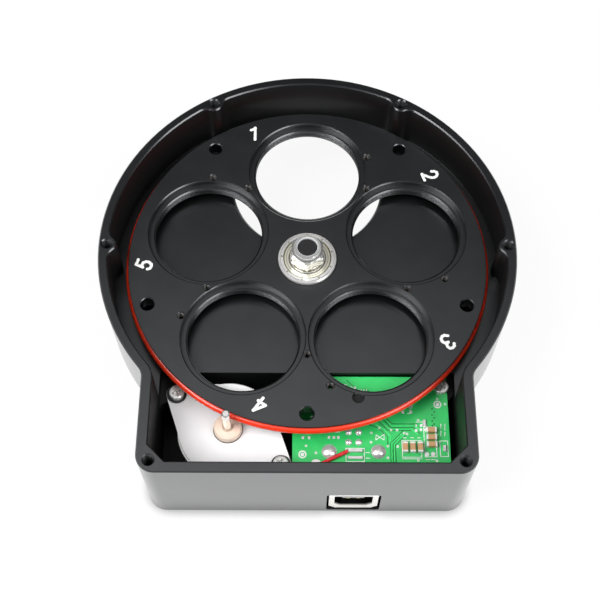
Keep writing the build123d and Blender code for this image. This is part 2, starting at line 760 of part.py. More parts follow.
upright_x, upright_y = on_board(cap_upright_inset)
flat_x, flat_y = on_board(cap_flat_inset)
finish(block_set([(x, upright_y, cap_width, cap_length) for x in row(upright_x, cap_pitch, cap_count)],
                 cap_height, part_edge), "capacitors_upright")
finish(block_set([(flat_x, y, cap_length, cap_width) for y in row(flat_y, cap_pitch, cap_count)],
                 cap_height, part_edge), "capacitors_flat")
finish(block_set([(land_x, inset - board_front, land_length, land_width) for inset in land_insets]
                 + [(*on_board(inset), chip_width, chip_length) for inset in chip_insets],
                 chip_height, part_edge), "chip_parts")
finish(block_set([(*on_board(controller_inset), controller_size, controller_size)],
                 controller_height, part_edge), "controller_chip")
finish(block_set([(*on_board(driver_inset), driver_width, driver_length)],
                 driver_height, part_edge), "driver_chip")
finish(block_set([(*on_board(hall_inset), hall_length, hall_width)],
                 hall_height, part_edge), "hall_sensor")


# ---------------------------------------------------------------- screws
def screw_set(plane, places):
    """Pan-head screws with their heads standing on a plane."""
    with BuildPart() as screws:
        with BuildSketch(plane):
            with Locations(*places):
                Circle(screw_head)
        extrude(amount=screw_head_height)
        fillet(screws.faces().sort_by(Axis.Z)[-len(places):].edges(), screw_head_edge)
        with BuildSketch(plane):
            with Locations(*places):
                Circle(screw_shank)
        extrude(amount=-screw_length)
    return screws.part


finish(screw_set(motor_plane(plate_top + washer_black_thickness), ears), "motor_screws")

with BuildPart() as motor_screw_washers:
    with BuildSketch(motor_plane(plate_top)):
        with Locations(*ears):
            Circle(washer_black_radius)
            Circle(screw_shank + fit_clearance, mode=Mode.SUBTRACT)
    extrude(amount=washer_black_thickness)
finish(motor_screw_washers.part, "motor_screw_washers")

with BuildPart() as board_screws:
    add(screw_set(wheel_plane(board_top), board_screws_at))
finish(board_screws.part, "board_screws")

# ---------------------------------------------------------------- motor lead
lead_z = board_top + lead_lift
wall_y = -inner_front + lead_wall_gap
entry_dx, entry_dy = on_wheel(1, lead_entry_angle)
can_x = motor_x + motor_radius * entry_dx
can_y = motor_y + motor_radius * entry_dy
drop_x = can_x + lead_entry_run * entry_dx
drop_y = can_y + lead_entry_run * entry_dy
lead_points = [
    (lead_start_x, wheel_y - board_front + lead_start_inset, lead_z),
    (lead_wall_x, wheel_y + wall_y, lead_z),
    (drop_x, drop_y, lead_z),
    (drop_x, drop_y, lead_entry_z),
    (can_x, can_y, lead_entry_z),
]
start_direction = Vector(*lead_points[1]) - Vector(*lead_points[0])

with BuildPart() as motor_lead:
    with BuildLine() as lead_route:
        FilletPolyline(*lead_points, radius=lead_bends)
    with BuildSketch(Plane(origin=lead_points[0], z_dir=start_direction)):
        Circle(lead_radius)
    sweep(path=lead_route.wires()[0])
finish(motor_lead.part, "motor_lead")
print("lead bends", lead_bends, "length", round(lead_route.wires()[0].length, 2))
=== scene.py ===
"""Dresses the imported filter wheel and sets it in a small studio.

Outlines are drawn in millimetres from the wheel's axis. They become metres, in the axes of the
solids, when a mesh is finished.
"""

from math import cos, pi, radians, sin

import bmesh
import bpy
from mathutils import Matrix, Vector


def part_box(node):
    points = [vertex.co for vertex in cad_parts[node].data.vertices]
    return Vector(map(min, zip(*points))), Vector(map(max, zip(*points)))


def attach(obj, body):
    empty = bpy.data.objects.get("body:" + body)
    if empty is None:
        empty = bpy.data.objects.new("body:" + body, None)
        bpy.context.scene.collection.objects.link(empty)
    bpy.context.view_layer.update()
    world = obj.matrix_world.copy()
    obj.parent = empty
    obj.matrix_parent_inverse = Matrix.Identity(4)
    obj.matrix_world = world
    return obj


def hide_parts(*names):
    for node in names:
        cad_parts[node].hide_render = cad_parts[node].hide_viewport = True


bl_info = {
    "name": "Filter wheel",
    "version": (1, 0, 0),
    "blender": (4, 5, 0),
    "location": "3D View > Sidebar > Filter wheel",
    "description": "Dresses a motorised filter wheel: housing, wheel, drive and control board",
    "category": "Add Mesh",
}

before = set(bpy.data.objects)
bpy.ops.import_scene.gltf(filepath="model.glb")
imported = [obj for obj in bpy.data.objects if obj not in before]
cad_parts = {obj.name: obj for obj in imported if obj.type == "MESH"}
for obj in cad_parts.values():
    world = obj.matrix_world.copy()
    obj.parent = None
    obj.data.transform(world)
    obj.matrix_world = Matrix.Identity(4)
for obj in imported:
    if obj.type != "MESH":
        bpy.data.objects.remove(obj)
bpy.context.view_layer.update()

MM = 0.001
METRES = Matrix.Diagonal((MM, MM, MM, 1))
SHARP = radians(32)
WHITE = (1, 1, 1, 1)


# -------- places read from the frame
def corners(node):
    """Lowest and highest corner of a CAD node, in millimetres."""
    low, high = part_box(node)
    return low / MM, high / MM


WHEEL_LOW, WHEEL_HIGH = corners("filter_wheel")
BOARD_LOW, BOARD_HIGH = corners("circuit_board")
HOUSING_LOW, HOUSING_HIGH = corners("housing")
AXIS_Y = (WHEEL_LOW.y + WHEEL_HIGH.y) / 2
BEARING_TOP = corners("bearing_outer_ring")[1].z

# -------- sizes of the solids, in millimetres
POCKETS = (90, 18, -54, -126, 162)       # angles of pockets 1 to 5
POCKET_RING = 27.25
SEAT_RADIUS = 15.6
SEAT_DEPTH = 1.5
FILTER_THREAD = 14.1                     # radii of the threaded bores
APERTURE_THREAD = 20.5
RETAINING_HOLE = 0.9
COVER_HOLE = 1.25
LIGHT_HOLE = 1.7
LIGHT_PLACE = (42.55, 36.0)              # distance from the axis, angle from a pocket
RETAINING_PLACES = ((35.7, -26.8), (26.85, 36.0))
COVER_RING = 50.7
COVER_ANGLES = (0, 60, 120, 180)
COVER_CORNER_X, COVER_CORNER_Y = 36.4, -57.0
EAR_REACH, EAR_ANGLE = 16.0, -35.0       # from the motor's shaft to its screws
BOARD_SCREW_HEAD = 1.9
CHAMBER_REACH, CHAMBER_FLOOR = 50.6, 6.1     # the milled walls, with a hair to spare
BAY_HALF, BAY_FRONT, BAY_BACK = 36.95, -57.45, -29.2
WALL_TOP = 19.6


def polar(radius, angle):
    """A place on the wheel, from its distance and its angle in degrees."""
    return radius * cos(radians(angle)), radius * sin(radians(angle))


def middle_of(node):
    """The middle of a CAD node, seen from above."""
    low, high = corners(node)
    return Vector(((low.x + high.x) / 2, (low.y + high.y) / 2 - AXIS_Y))


# -------- meshes
def linked(name, bm):
    """A scene object that holds a finished mesh."""
    data = bpy.data.meshes.new(name)
    bm.to_mesh(data)
    bm.free()
    piece = bpy.data.objects.new(name, data)
    bpy.context.scene.collection.objects.link(piece)
    return piece


def mesh_object(name, bm):
    """A mesh drawn in millimetres from the wheel's axis, moved to its place."""
    bmesh.ops.transform(bm, matrix=METRES @ Matrix.Translation((0, AXIS_Y, 0)), verts=bm.verts)
    return linked(name, bm)


def loose_part(bm):
    """A part drawn in millimetres about its own centre, for a node tree to set out."""
    bmesh.ops.recalc_face_normals(bm, faces=bm.faces)
    bmesh.ops.transform(bm, matrix=METRES, verts=bm.verts)
    return linked("part", bm)


def settled(piece):
    """Turns what a piece's modifiers make into its plain mesh."""
    shown = piece.evaluated_get(bpy.context.evaluated_depsgraph_get())
    outcome = bpy.data.meshes.new_from_object(shown)
    start = piece.data
    piece.modifiers.clear()
    piece.data = outcome
    bpy.data.meshes.remove(start)
    outcome.name = piece.name
    if not outcome.polygons:
        raise RuntimeError(piece.name + " came out empty")
    return piece


def lofted(*rings):
    """A closed solid through rings of as many points each, lowest first."""
    bm = bmesh.new()
    layers = [[bm.verts.new(point) for point in ring] for ring in rings]
    for low, high in zip(layers, layers[1:]):
        for index in range(len(low)):
            after = (index + 1) % len(low)
            bm.faces.new((low[index], low[after], high[after], high[index]))
    bm.faces.new(reversed(layers[0]))
    bm.faces.new(layers[-1])
    return bm


def circle(radius, z, steps=24):
    """A ring of points."""
    return [(radius * cos(2 * pi * k / steps), radius * sin(2 * pi * k / steps), z) for k in range(steps)]


def block(width, depth, low, high, edge=0.0):
    """Rings of a box, whose top edges may be broken."""
    def ring(shrink, z):
        x, y = width / 2 - shrink, depth / 2 - shrink
        return [(-x, -y, z), (x, -y, z), (x, y, z), (-x, y, z)]
    if not edge:
        return [ring(0, low), ring(0, high)]
    return [ring(0, low), ring(0, high - edge), ring(edge, high)]


def shifted(bm, x, y):
    """A mesh moved sideways."""
    bmesh.ops.translate(bm, verts=bm.verts, vec=(x, y, 0))
    return bm


def turned(profile, steps):
    """A ring turned from a closed outline of (radius, z) points."""
    bm = bmesh.new()
    loops = [[bm.verts.new(point) for point in circle(radius, z, steps)] for radius, z in profile]
    for first, second in zip(loops, loops[1:] + loops[:1]):
        for k in range(steps):
            after = (k + 1) % steps
            bm.faces.new((first[k], first[after], second[after], second[k]))
    return bm


def washer(outer, inner, low, high, steps):
    """A flat ring with a hole."""
    return turned([(inner, low), (outer, low), (outer, high), (inner, high)], steps)


def points_mesh(points):
    """Loose points."""
    bm = bmesh.new()
    for point in points:
        bm.verts.new(point)
    return bm


def lines_mesh(*lines):
    """A loose edge for each straight of each line.

    Each is a hair above the last, so that no two lie in one plane.
    """
    bm = bmesh.new()
    hair = 0.003
    for line in lines:
        for step, (first, second) in enumerate(zip(line, line[1:])):
            lift = Vector((0, 0, hair * step))
            bm.edges.new((bm.verts.new(Vector(first) + lift), bm.verts.new(Vector(second) + lift)))
    return bm


def adopt(piece, material, body, *nodes, slot=None):
    """Paints a finished piece and lets it ride, in place of CAD nodes if any are named."""
    piece.data.materials.clear()
    piece.data.materials.append(material)
    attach(piece, body)
    if nodes:
        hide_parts(*nodes)
    return piece


def paint(material, *nodes):
    """Gives CAD nodes a finish and smooth shading between their creases."""
    for node in nodes:
        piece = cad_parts[node]
        piece.data.materials.clear()
        piece.data.materials.append(material)
        soften(piece)


def soften(piece):
    """Adds smooth shading between the creases."""
    piece.modifiers.new("Soft shading", "NODES").node_group = shared("Soft shading", soft_shading)


# -------- node trees
class Nodes:
    """A node tree under construction."""

    def __init__(self, tree):
        self.tree = tree

    def node(self, kind, values=None, **settings):
        """Adds a node: its settings first, then the values or links of its sockets."""
        made = self.tree.nodes.new(kind)
        for key, value in settings.items():
            setattr(made, key, value)
        for key, value in (values or {}).items():
            if isinstance(value, Number):
                value = value.socket
            if isinstance(value, bpy.types.NodeSocket):
                self.tree.links.new(value, made.inputs[key])
            else:
                made.inputs[key].default_value = value
        return made

    def made(self, kind, values=None, **settings):
        """Adds a node and gives its first output."""
        return self.node(kind, values, **settings).outputs[0]


class Tree(Nodes):
    """A geometry node tree that takes geometry and named values."""

    def __init__(self, name, *inputs):
        super().__init__(bpy.data.node_groups.new(name, "GeometryNodeTree"))
        face = self.tree.interface
        for label, kind, value in (("Geometry", "Geometry", None), *inputs):
            socket = face.new_socket(label, in_out="INPUT", socket_type="NodeSocket" + kind)
            if value is not None:
                socket.default_value = value
        face.new_socket("Geometry", in_out="OUTPUT", socket_type="NodeSocketGeometry")
        self.given = self.node("NodeGroupInput").outputs

    def product(self, first, second):
        """Multiplies two numbers."""
        return self.made("ShaderNodeMath", {0: first, 1: second}, operation="MULTIPLY")

    def swept(self, line, section):
        """A section swept along a line, upright all the way."""
        level = self.made("GeometryNodeSetCurveNormal", {"Curve": line}, mode="Z_UP")
        return self.made("GeometryNodeCurveToMesh", {
            "Curve": level, "Profile Curve": section, "Fill Caps": True})

    def end(self, geometry):
        """Links the result and hands the tree over."""
        self.node("NodeGroupOutput", {0: geometry})
        return self.tree

    def painted(self, geometry):
        """Ends the tree in real geometry with its finish."""
        real = self.made("GeometryNodeRealizeInstances", {"Geometry": geometry})
        return self.end(self.made("GeometryNodeSetMaterial", {
            "Geometry": real, "Material": self.given["Finish"]}))


def shared(name, build):
    """A node tree by its name, built the first time that it is asked for."""
    return bpy.data.node_groups.get(name) or build(name)


def set_out_tree(name):
    """Puts a part on every point."""
    t = Tree(name, ("Part", "Object", None), ("Finish", "Material", None))
    part = t.node("GeometryNodeObjectInfo", {"Object": t.given["Part"], "As Instance": True})
    turn = t.node("GeometryNodeInputNamedAttribute", {"Name": "turn"}, data_type="FLOAT_VECTOR")
    size = t.node("GeometryNodeInputNamedAttribute", {"Name": "size"}, data_type="FLOAT_VECTOR")
    angle = t.made("FunctionNodeEulerToRotation", {"Euler": turn.outputs["Attribute"]})
    return t.painted(t.made("GeometryNodeInstanceOnPoints", {
        "Points": t.given[0], "Instance": part.outputs["Geometry"],
        "Rotation": angle, "Scale": size.outputs["Attribute"]}))


def ribbon_tree(name):
    """Sweeps a flat strip along every edge line, with a disc at every bend and end."""
    t = Tree(name, ("Width", "Float", 0.0002), ("Height", "Float", 0.00003), ("Finish", "Material", None))
    width, height = t.given["Width"], t.given["Height"]
    line = t.made("GeometryNodeMeshToCurve", {"Mesh": t.given[0]})
    section = t.made("GeometryNodeCurvePrimitiveQuadrilateral", {"Width": width, "Height": height},
                     mode="RECTANGLE")
    disc = t.made("GeometryNodeMeshCylinder", {
        "Vertices": 28, "Radius": t.product(width, 0.5), "Depth": t.product(height, 1.2)})
    joined = t.node("GeometryNodeJoinGeometry")
    for part in (t.swept(line, section),
                 t.made("GeometryNodeInstanceOnPoints", {"Points": t.given[0], "Instance": disc})):
        t.tree.links.new(part, joined.inputs[0])
    return t.painted(joined.outputs[0])


def thread_tree(name):
    """Winds a sharp ridge up a bore at every point."""
    t = Tree(name, ("Radius", "Float", 0.001), ("Depth", "Float", 0.0002), ("Pitch", "Float", 0.0005),
             ("Turns", "Float", 4.0), ("Steps", "Int", 24), ("Finish", "Material", None))
    radius, turns = t.given["Radius"], t.given["Turns"]
    coil = t.made("GeometryNodeCurveSpiral", {
        "Resolution": t.given["Steps"], "Rotations": turns, "Start Radius": radius,
        "End Radius": radius, "Height": t.product(t.given["Pitch"], turns)})
    ridge = t.made("GeometryNodeCurvePrimitiveCircle", {"Resolution": 4, "Radius": t.given["Depth"]},
                   mode="RADIUS")
    return t.painted(t.made("GeometryNodeInstanceOnPoints", {
        "Points": t.given[0], "Instance": t.swept(coil, ridge)}))


def soft_shading(name):
    """Merges loose triangles and keeps only real edges sharp."""
    t = Tree(name, ("Crease angle", "Float", SHARP), ("Merge distance", "Float", 1e-6))
    merged = t.made("GeometryNodeMergeByDistance", {
        "Geometry": t.given[0], "Distance": t.given["Merge distance"]})
    round_faces = t.made("GeometryNodeSetShadeSmooth", {"Geometry": merged, "Shade Smooth": True},
                         domain="FACE")
    angle = t.node("GeometryNodeInputMeshEdgeAngle").outputs["Unsigned Angle"]
    flat = t.made("ShaderNodeMath", {0: angle, 1: t.given["Crease angle"]}, operation="LESS_THAN")
    return t.end(t.made("GeometryNodeSetShadeSmooth", {"Geometry": round_faces, "Shade Smooth": flat},
                        domain="EDGE"))


def grown(name, bm, tree, values, turns=None, scales=None):
    """Runs a node tree over a mesh and keeps the outcome as a plain mesh."""
    piece = mesh_object(name, bm)
    for label, vectors in (("turn", turns), ("size", scales)):
        if vectors:
            layer = piece.data.attributes.new(label, "FLOAT_VECTOR", "POINT")
            layer.data.foreach_set("vector", [number for vector in vectors for number in vector])
    growth = piece.modifiers.new(name, "NODES")
    growth.node_group = tree
    for item in tree.interface.items_tree:
        if item.in_out == "INPUT" and item.name in values:
            growth[item.identifier] = values[item.name]
    return settled(piece)


def set_out(name, part, material, points, turns=None, scales=None):
    """Sets one part out on many places, each with its turn and scale."""
    turns = turns or [(0, 0, 0)] * len(points)
    scales = scales or [(1, 1, 1)] * len(points)
    piece = grown(name, points_mesh(points), shared("Set out", set_out_tree),
                  {"Part": part, "Finish": material}, turns, scales)
    bpy.data.objects.remove(part)
    return piece


def scattered(name, bm, material, body, slot, points, turns=None, scales=None):
    """Sets one part out on many places and lets it ride."""
    piece = set_out(name, loose_part(bm), material, points, turns, scales)
    return adopt(piece, material, body, slot=slot)


def cut_copy(name, node, *cutters):
    """A merged copy of a CAD node with cutters taken out of it, one after another."""
    bm = bmesh.new()
    bm.from_mesh(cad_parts[node].data)
    bmesh.ops.remove_doubles(bm, verts=bm.verts, dist=1e-6)
    piece = linked(name, bm)
    for cutter in cutters:
        cut = piece.modifiers.new("Recess", "BOOLEAN")
        cut.operation = "DIFFERENCE"
        cut.solver = "EXACT"
        cut.object = cutter
    soften(piece)
    settled(piece)
    for cutter in cutters:
        bpy.data.objects.remove(cutter)
    return piece


# -------- finishes
class Number:
    """A number in a shader, for sums written as expressions."""

    def __init__(self, shader, socket):
        self.shader = shader
        self.socket = socket

    def _sum(self, operation, first, second):
        made = self.shader.made("ShaderNodeMath", {0: first, 1: second}, operation=operation)
        return Number(self.shader, made)

    def __add__(self, other):
        return self._sum("ADD", self, other)

    __radd__ = __add__

    def __sub__(self, other):
        return self._sum("SUBTRACT", self, other)

    def __rsub__(self, other):
        return self._sum("SUBTRACT", other, self)

    def __mul__(self, other):
        return self._sum("MULTIPLY", self, other)

    __rmul__ = __mul__

    def __truediv__(self, other):
        return self._sum("DIVIDE", self, other)

    def over(self, limit):
        """1 where the number is above a limit, 0 elsewhere."""
        return self._sum("GREATER_THAN", self, limit)

    def between(self, low, high):
        """1 between two limits, 0 elsewhere."""
        return self.over(low) * (1 - self.over(high))

    def fading(self, start, first, end, last):
        """A smooth change from one level to another."""
        made = self.shader.made("ShaderNodeMapRange", {
            "Value": self, "From Min": start, "From Max": end, "To Min": first, "To Max": last},
            interpolation_type="SMOOTHSTEP")
        return Number(self.shader, made)


class Shader(Nodes):
    """The nodes of a material or a world."""

    def __init__(self, owner):
        owner.use_nodes = True
        super().__init__(owner.node_tree)
        self.owner = owner
        self.tree.nodes.clear()

    def place(self):
        """The place on the piece."""
        return self.node("ShaderNodeTexCoord").outputs["Object"]

    def axes(self, vector):
        """A vector's X, Y and Z."""
        split = self.node("ShaderNodeSeparateXYZ", {0: vector})
        return [Number(self, socket) for socket in split.outputs]

    def from_axis(self):
        """The place in millimetres from the wheel's axis, along X, Y and Z."""
        x, y, z = (number / MM for number in self.axes(self.place()))
        return x, y - AXIS_Y, z

    def noise(self, size, detail, stretch=(1, 1, 1)):
        """Cloudy noise whose blotches measure about size millimetres."""
        mapped = self.made("ShaderNodeMapping", {"Vector": self.place(), "Scale": stretch})
        return Number(self, self.made("ShaderNodeTexNoise", {
            "Vector": mapped, "Scale": 1 / (size * MM), "Detail": detail}))

    def ramp(self, number, *stops):
        """Reshapes a number by two (position, level) stops."""
        made = self.node("ShaderNodeValToRGB", {0: number})
        for element, (position, level) in zip(made.color_ramp.elements, stops):
            element.position = position
            element.color = (level, level, level, 1)
        return Number(self, made.outputs[0])

    def blend(self, share, first, second):
        """Mixes two colours."""
        made = self.node("ShaderNodeMix", {0: share, 6: opaque(first), 7: opaque(second)},
                         data_type="RGBA")
        return made.outputs[2]

    def bump(self, height, depth, strength):
        """Relief whose full height is depth millimetres."""
        return self.made("ShaderNodeBump", {
            "Height": height, "Distance": depth * MM, "Strength": strength})

    def seen(self):
        """1 where the camera looks, straight or by way of a mirror or glass, 0 for other light."""
        path = self.node("ShaderNodeLightPath").outputs
        seen = Number(self, path["Is Camera Ray"]) + path["Is Glossy Ray"]
        return seen + path["Is Transmission Ray"]

    def mixed(self, share, first, second):
        """Mixes two shaders."""
        return self.made("ShaderNodeMixShader", {0: share, 1: first, 2: second})

    def end(self, shader):
        """Links the result and hands the material or world over."""
        kind = "World" if isinstance(self.owner, bpy.types.World) else "Material"
        self.node("ShaderNodeOutput" + kind, {0: shader})
        return self.owner

    def surface(self, values):
        """Ends the material in one principled surface."""
        return self.end(self.made("ShaderNodeBsdfPrincipled", values))


def new_shader(name):
    """An empty material."""
    return Shader(bpy.data.materials.new(name))


def opaque(colour):
    """A colour with its alpha, or a socket as it is."""
    if isinstance(colour, bpy.types.NodeSocket):
        return colour
    return (*colour[:3], 1.0)


def shaded(colour, share):
    """A colour made darker or lighter."""
    return tuple(channel * share for channel in colour[:3])


def anodised(name, colour, roughness, dull_and_shade=None):
    """Blasted and anodised aluminium: fine pits, faint clouds in the dye, a little random dullness, and where
    dull_and_shade is 1 a duller surface whose colour carries painted shade.
    """
    s = new_shader(name)
    clouds = s.noise(9, 3)
    pits = s.noise(0.12, 1)
    dulled_and_shaded = dull_and_shade(s) if dull_and_shade else s.noise(4, 1) * 0.04
    dye = s.blend(clouds, shaded(colour, 0.82), shaded(colour, 1.18))
    return s.surface({
        # painted shade: where the mask is 1 the base colour is blended towards black
        "Base Color": s.blend(dulled_and_shaded * 0.8, dye, (0, 0, 0)),
        "Metallic": 1.0 - dulled_and_shaded * 0.3,
        "Roughness": roughness + (pits - 0.5) * 0.16 + (clouds - 0.5) * 0.08 + dulled_and_shaded * 0.25,
        "Coat Weight": 1.0 - dulled_and_shaded * 0.88,
        "Coat Roughness": 0.22,
        "Coat IOR": 1.57,
        "Normal": s.bump(pits, 0.006, 0.6)})


def milled_walls(s):
    """1 on the walls of the chamber and of the electronics bay, 0 elsewhere; there the anodising is duller
    and carries painted shade.
    """
    x, y, z = s.from_axis()
    chamber = (1 - (x * x + y * y).over(CHAMBER_REACH ** 2)) * z.over(CHAMBER_FLOOR)
    bay = x.between(-BAY_HALF, BAY_HALF) * y.between(BAY_FRONT, BAY_BACK)
    return (chamber + bay).over(0.5) * (1 - z.over(WALL_TOP))


def metal(name, colour, roughness, mark_size=0.25, depth=0.004, bright=0.6, stained=0.85):
    """Bare or plated metal with tool marks and a little tarnish."""
    s = new_shader(name)
    marks = s.noise(mark_size, 2)
    stain = s.noise(2.5, 3)
    return s.surface({
        "Base Color": s.blend(s.ramp(stain, (0.35, 0.0), (0.75, 1.0)), colour, shaded(colour, stained)),
        "Metallic": bright,
        "Roughness": roughness + (marks - 0.5) * 0.15 + (stain - 0.5) * 0.1,
        "Normal": s.bump(marks, depth, 0.5)})


def moulded(name, colour, roughness, coat=0.0):
    """Rubber, plastic or ceramic with a slightly uneven skin."""
    s = new_shader(name)
    skin = s.noise(0.15, 2)
    tone = s.noise(1.2, 3)
    return s.surface({
        "Base Color": s.blend(tone, shaded(colour, 0.86), shaded(colour, 1.12)),
        "Roughness": roughness + (skin - 0.5) * 0.12,
        "Coat Weight": coat,
        "Normal": s.bump(skin, 0.004, 0.4)})


def finish_shaded_into_socket(name, colour, roughness, bright, *shade_stops):
    """A finish with painted shade, which darkens it towards near black into the socket: start, level, end and
    level, behind its face.
    """
    s = new_shader(name)
    face = corners("usb_shell")[0].y - AXIS_Y
    # painted shade: how far behind the face a point lies sets how dark it is painted
    depth = (s.from_axis()[1] - face).fading(*shade_stops)
    grime = s.noise(1.4, 3) * 0.08
    return s.surface({
        "Base Color": s.blend(depth - grime, (0.004, 0.004, 0.005), colour),
        "Metallic": bright,
        "Roughness": roughness + grime})


def solder_mask(name, colour):
    """Glossy green lacquer with the glass cloth faintly showing."""
    s = new_shader(name)
    weave = s.noise(0.3, 1, (1, 4, 1)) * 0.5 + s.noise(0.3, 1, (4, 1, 1)) * 0.5
    pools = s.noise(3.5, 2)
    return s.surface({
        "Base Color": s.blend(pools, shaded(colour, 0.8), shaded(colour, 1.2)),
        "Roughness": 0.3 + (weave - 0.5) * 0.12,
        "Coat Weight": 0.4,
        "Normal": s.bump(weave, 0.004, 0.4)})


# -------- settings
def colour_setting(name, description, default):
    """A colour that can be set."""
    return bpy.props.FloatVectorProperty(
        name=name, description=description, subtype="COLOR", size=3, default=default)


def number_setting(name, description, default, **more):
    """A number that can be set."""
    return bpy.props.FloatProperty(name=name, description=description, default=default, **more)


class FinishSettings(bpy.types.PropertyGroup):
    """Colours of the parts."""
    anodise: colour_setting("Anodising", "Dye of housing and wheel", (0.058, 0.061, 0.065))
    ring: colour_setting("Drive ring", "Rubber of the drive ring", (0.88, 0.04, 0.01))
    board: colour_setting("Board", "Solder mask of the circuit board", (0.035, 0.60, 0.14))


class NumeralSettings(bpy.types.PropertyGroup):
    """Sizes and places of the printed numbers, in millimetres and degrees."""
    height: number_setting("Height", "Height of the pocket numbers", 4.7)
    stroke: number_setting("Stroke", "Width of the strokes", 0.76)
    ring: number_setting("Ring", "Distance of the numbers from the axis", 42.1)
    lead: number_setting("Lead", "Angle from a pocket to its number", 20.3)


class StudioSettings(bpy.types.PropertyGroup):
    """Camera, lamps and floor, in metres."""
    lens: number_setting("Lens", "Focal length for a 36 mm wide sensor", 66.15, subtype="DISTANCE_CAMERA")
    camera_place: bpy.props.FloatVectorProperty(
        name="Camera", description="Place of the camera", subtype="XYZ", size=3,
        default=(-0.001263, -0.16680, 0.26092))
    camera_pitch: number_setting("Pitch", "Angle below the horizon", radians(62.82), subtype="ANGLE")
    camera_yaw: number_setting("Yaw", "Turn to the right of +Y", radians(-0.25), subtype="ANGLE")
    floor_gap: number_setting("Floor gap", "Room between the floor and the box", 0.0001, unit="LENGTH")
    backdrop: number_setting("Backdrop", "Brightness of the floor and surroundings to the camera", 1.0)
    sky: number_setting("Sky", "Strength of the light from all round", 0.35)
    ceiling: number_setting("Ceiling", "Brightness above the walls in reflections", 0.05)
    canopy: number_setting("Canopy", "Brightness straight overhead in reflections", 1.0)
    key_power: number_setting("Key lamp", "Power", 6.0, unit="POWER")
    fill_power: number_setting("Fill lamp", "Power", 3.9, unit="POWER")


# -------- finishes of the solids
class FILTERWHEEL_OT_finishes(bpy.types.Operator):
    """Gives every CAD node its finish"""
    bl_idname = "filterwheel.finishes"
    bl_label = "Finish the solids"

    def execute(self, context):
        colours = context.scene.filter_wheel_finish
        # the housing's chamber and bay walls get painted shade through milled_walls
        paint(anodised("Black anodising", colours.anodise, 0.33, milled_walls), "housing")
        paint(moulded("Red silicone", colours.ring, 0.32, 0.5), "drive_ring")
        paint(metal("Zinc plating", (0.82, 0.82, 0.80), 0.18, bright=0.76), "wheel_nut", "wheel_washer")
        paint(metal("Drawn steel", (0.92, 0.92, 0.90), 0.24, bright=0.55), "motor_can")
        paint(metal("Bearing steel", (0.82, 0.81, 0.81), 0.2, bright=0.5),
              "bearing_inner_ring", "bearing_outer_ring", "bearing_balls")
        paint(metal("Ground shaft", (0.93, 0.92, 0.90), 0.14, bright=0.85), "motor_shaft")
        # painted shade: the magnet is coloured near black for the dark inside of its hole
        paint(moulded("Blackened magnet", (0.004, 0.004, 0.004), 0.7), "index_magnet")
        paint(metal("Pressed steel", (0.74, 0.72, 0.63), 0.3, bright=0.5),
              "bearing_shield_top", "bearing_shield_bottom", "bearing_cage")
        paint(metal("Motor plate", (0.96, 0.96, 0.97), 0.5, bright=0.08, stained=0.98), "motor_plate")
        paint(metal("Sintered bronze", (0.94, 0.76, 0.62), 0.42, mark_size=0.12, depth=0.02, bright=0.2),
              "motor_front_bush", "motor_rear_bush")
        paint(moulded("Black oxide", (0.015, 0.015, 0.016), 0.35), "wheel_stud", "motor_screw_washers")
        paint(moulded("Ferrite", (0.03, 0.03, 0.032), 0.5), "motor_rotor")
        paint(metal("Copper winding", (0.72, 0.33, 0.16), 0.3), "motor_stator")
        paint(moulded("Nylon", (0.46, 0.47, 0.48), 0.4), "nut_insert")
        paint(solder_mask("Solder mask", colours.board), "circuit_board")
        paint(metal("Solder", (0.90, 0.88, 0.87), 0.22, mark_size=0.6, depth=0.12, bright=0.55),
              "solder_joints", "chip_parts")
        paint(moulded("Capacitor ceramic", (0.60, 0.35, 0.17), 0.45),
              "capacitors_upright", "capacitors_flat")
        # painted shade inside the socket: the shell and the tongue darken behind the face
        paint(finish_shaded_into_socket("Nickel shell", (0.92, 0.90, 0.86), 0.25, 0.6, 0.05, 1.0, 0.55, 0.03),
              "usb_shell")
        paint(finish_shaded_into_socket("Socket plastic", (0.38, 0.37, 0.36), 0.4, 0.0, 2.0, 1.0, 5.0, 0.03),
              "usb_tongue")
        paint(metal("Gold flash", (0.95, 0.70, 0.28), 0.22), "usb_contacts")
        paint(moulded("Red insulation", (0.78, 0.02, 0.03), 0.4, 0.3), "motor_lead")
        return {"FINISHED"}


# -------- the wheel
class FILTERWHEEL_OT_wheel_edges(bpy.types.Operator):
    """Breaks the edges of the wheel's pockets and holes"""
    bl_idname = "filterwheel.wheel_edges"
    bl_label = "Break the wheel's edges"

    def execute(self, context):
        dyed = anodised("Black anodising, wheel", context.scene.filter_wheel_finish.anodise, 0.36)
        top, rim = WHEEL_HIGH.z, WHEEL_HIGH.x
        pocket = (POCKET_RING, 0)
        cutters = [self.cones(SEAT_RADIUS, pocket, top, spread=0.32, depth=0.33),
                   self.cones(FILTER_THREAD, pocket, top - SEAT_DEPTH, spread=0.4, depth=0.38),
                   self.cones(LIGHT_HOLE, LIGHT_PLACE, top, spread=0.3, depth=0.28)]
        cutters += [self.cones(RETAINING_HOLE, place, top, spread=0.25, depth=0.25, inset=0.04)
                    for place in RETAINING_PLACES]
        adopt(cut_copy("wheel_disc", "filter_wheel", *cutters), dyed, "wheel", "filter_wheel")
        lip = turned([(rim - 0.4, top - 0.6), (rim + 0.2, top - 0.4), (rim + 0.2, top - 0.13),
                      (rim + 0.08, top - 0.01), (rim - 0.4, top - 0.01)], 240)
        adopt(mesh_object("ring_lip", lip), dyed, "wheel", slot="wheel_anodise")
        return {"FINISHED"}

    def cones(self, radius, place, level, spread, depth, inset=0.05):
        """A countersink over the same bore of every pocket."""
        ring, turn = place
        steps = 96 if radius > 5 else 24
        proud = 0.06
        data = bpy.data.meshes.new("cone")
        whole = bmesh.new()
        for angle in POCKETS:
            cone = lofted(circle(radius - inset, level - depth, steps),
                          circle(radius + spread, level + proud, steps))
            shifted(cone, *polar(ring, angle + turn)).to_mesh(data)
            cone.free()
            whole.from_mesh(data)
        bpy.data.meshes.remove(data)
        bmesh.ops.recalc_face_normals(whole, faces=whole.faces)
        return mesh_object("cutter", whole)


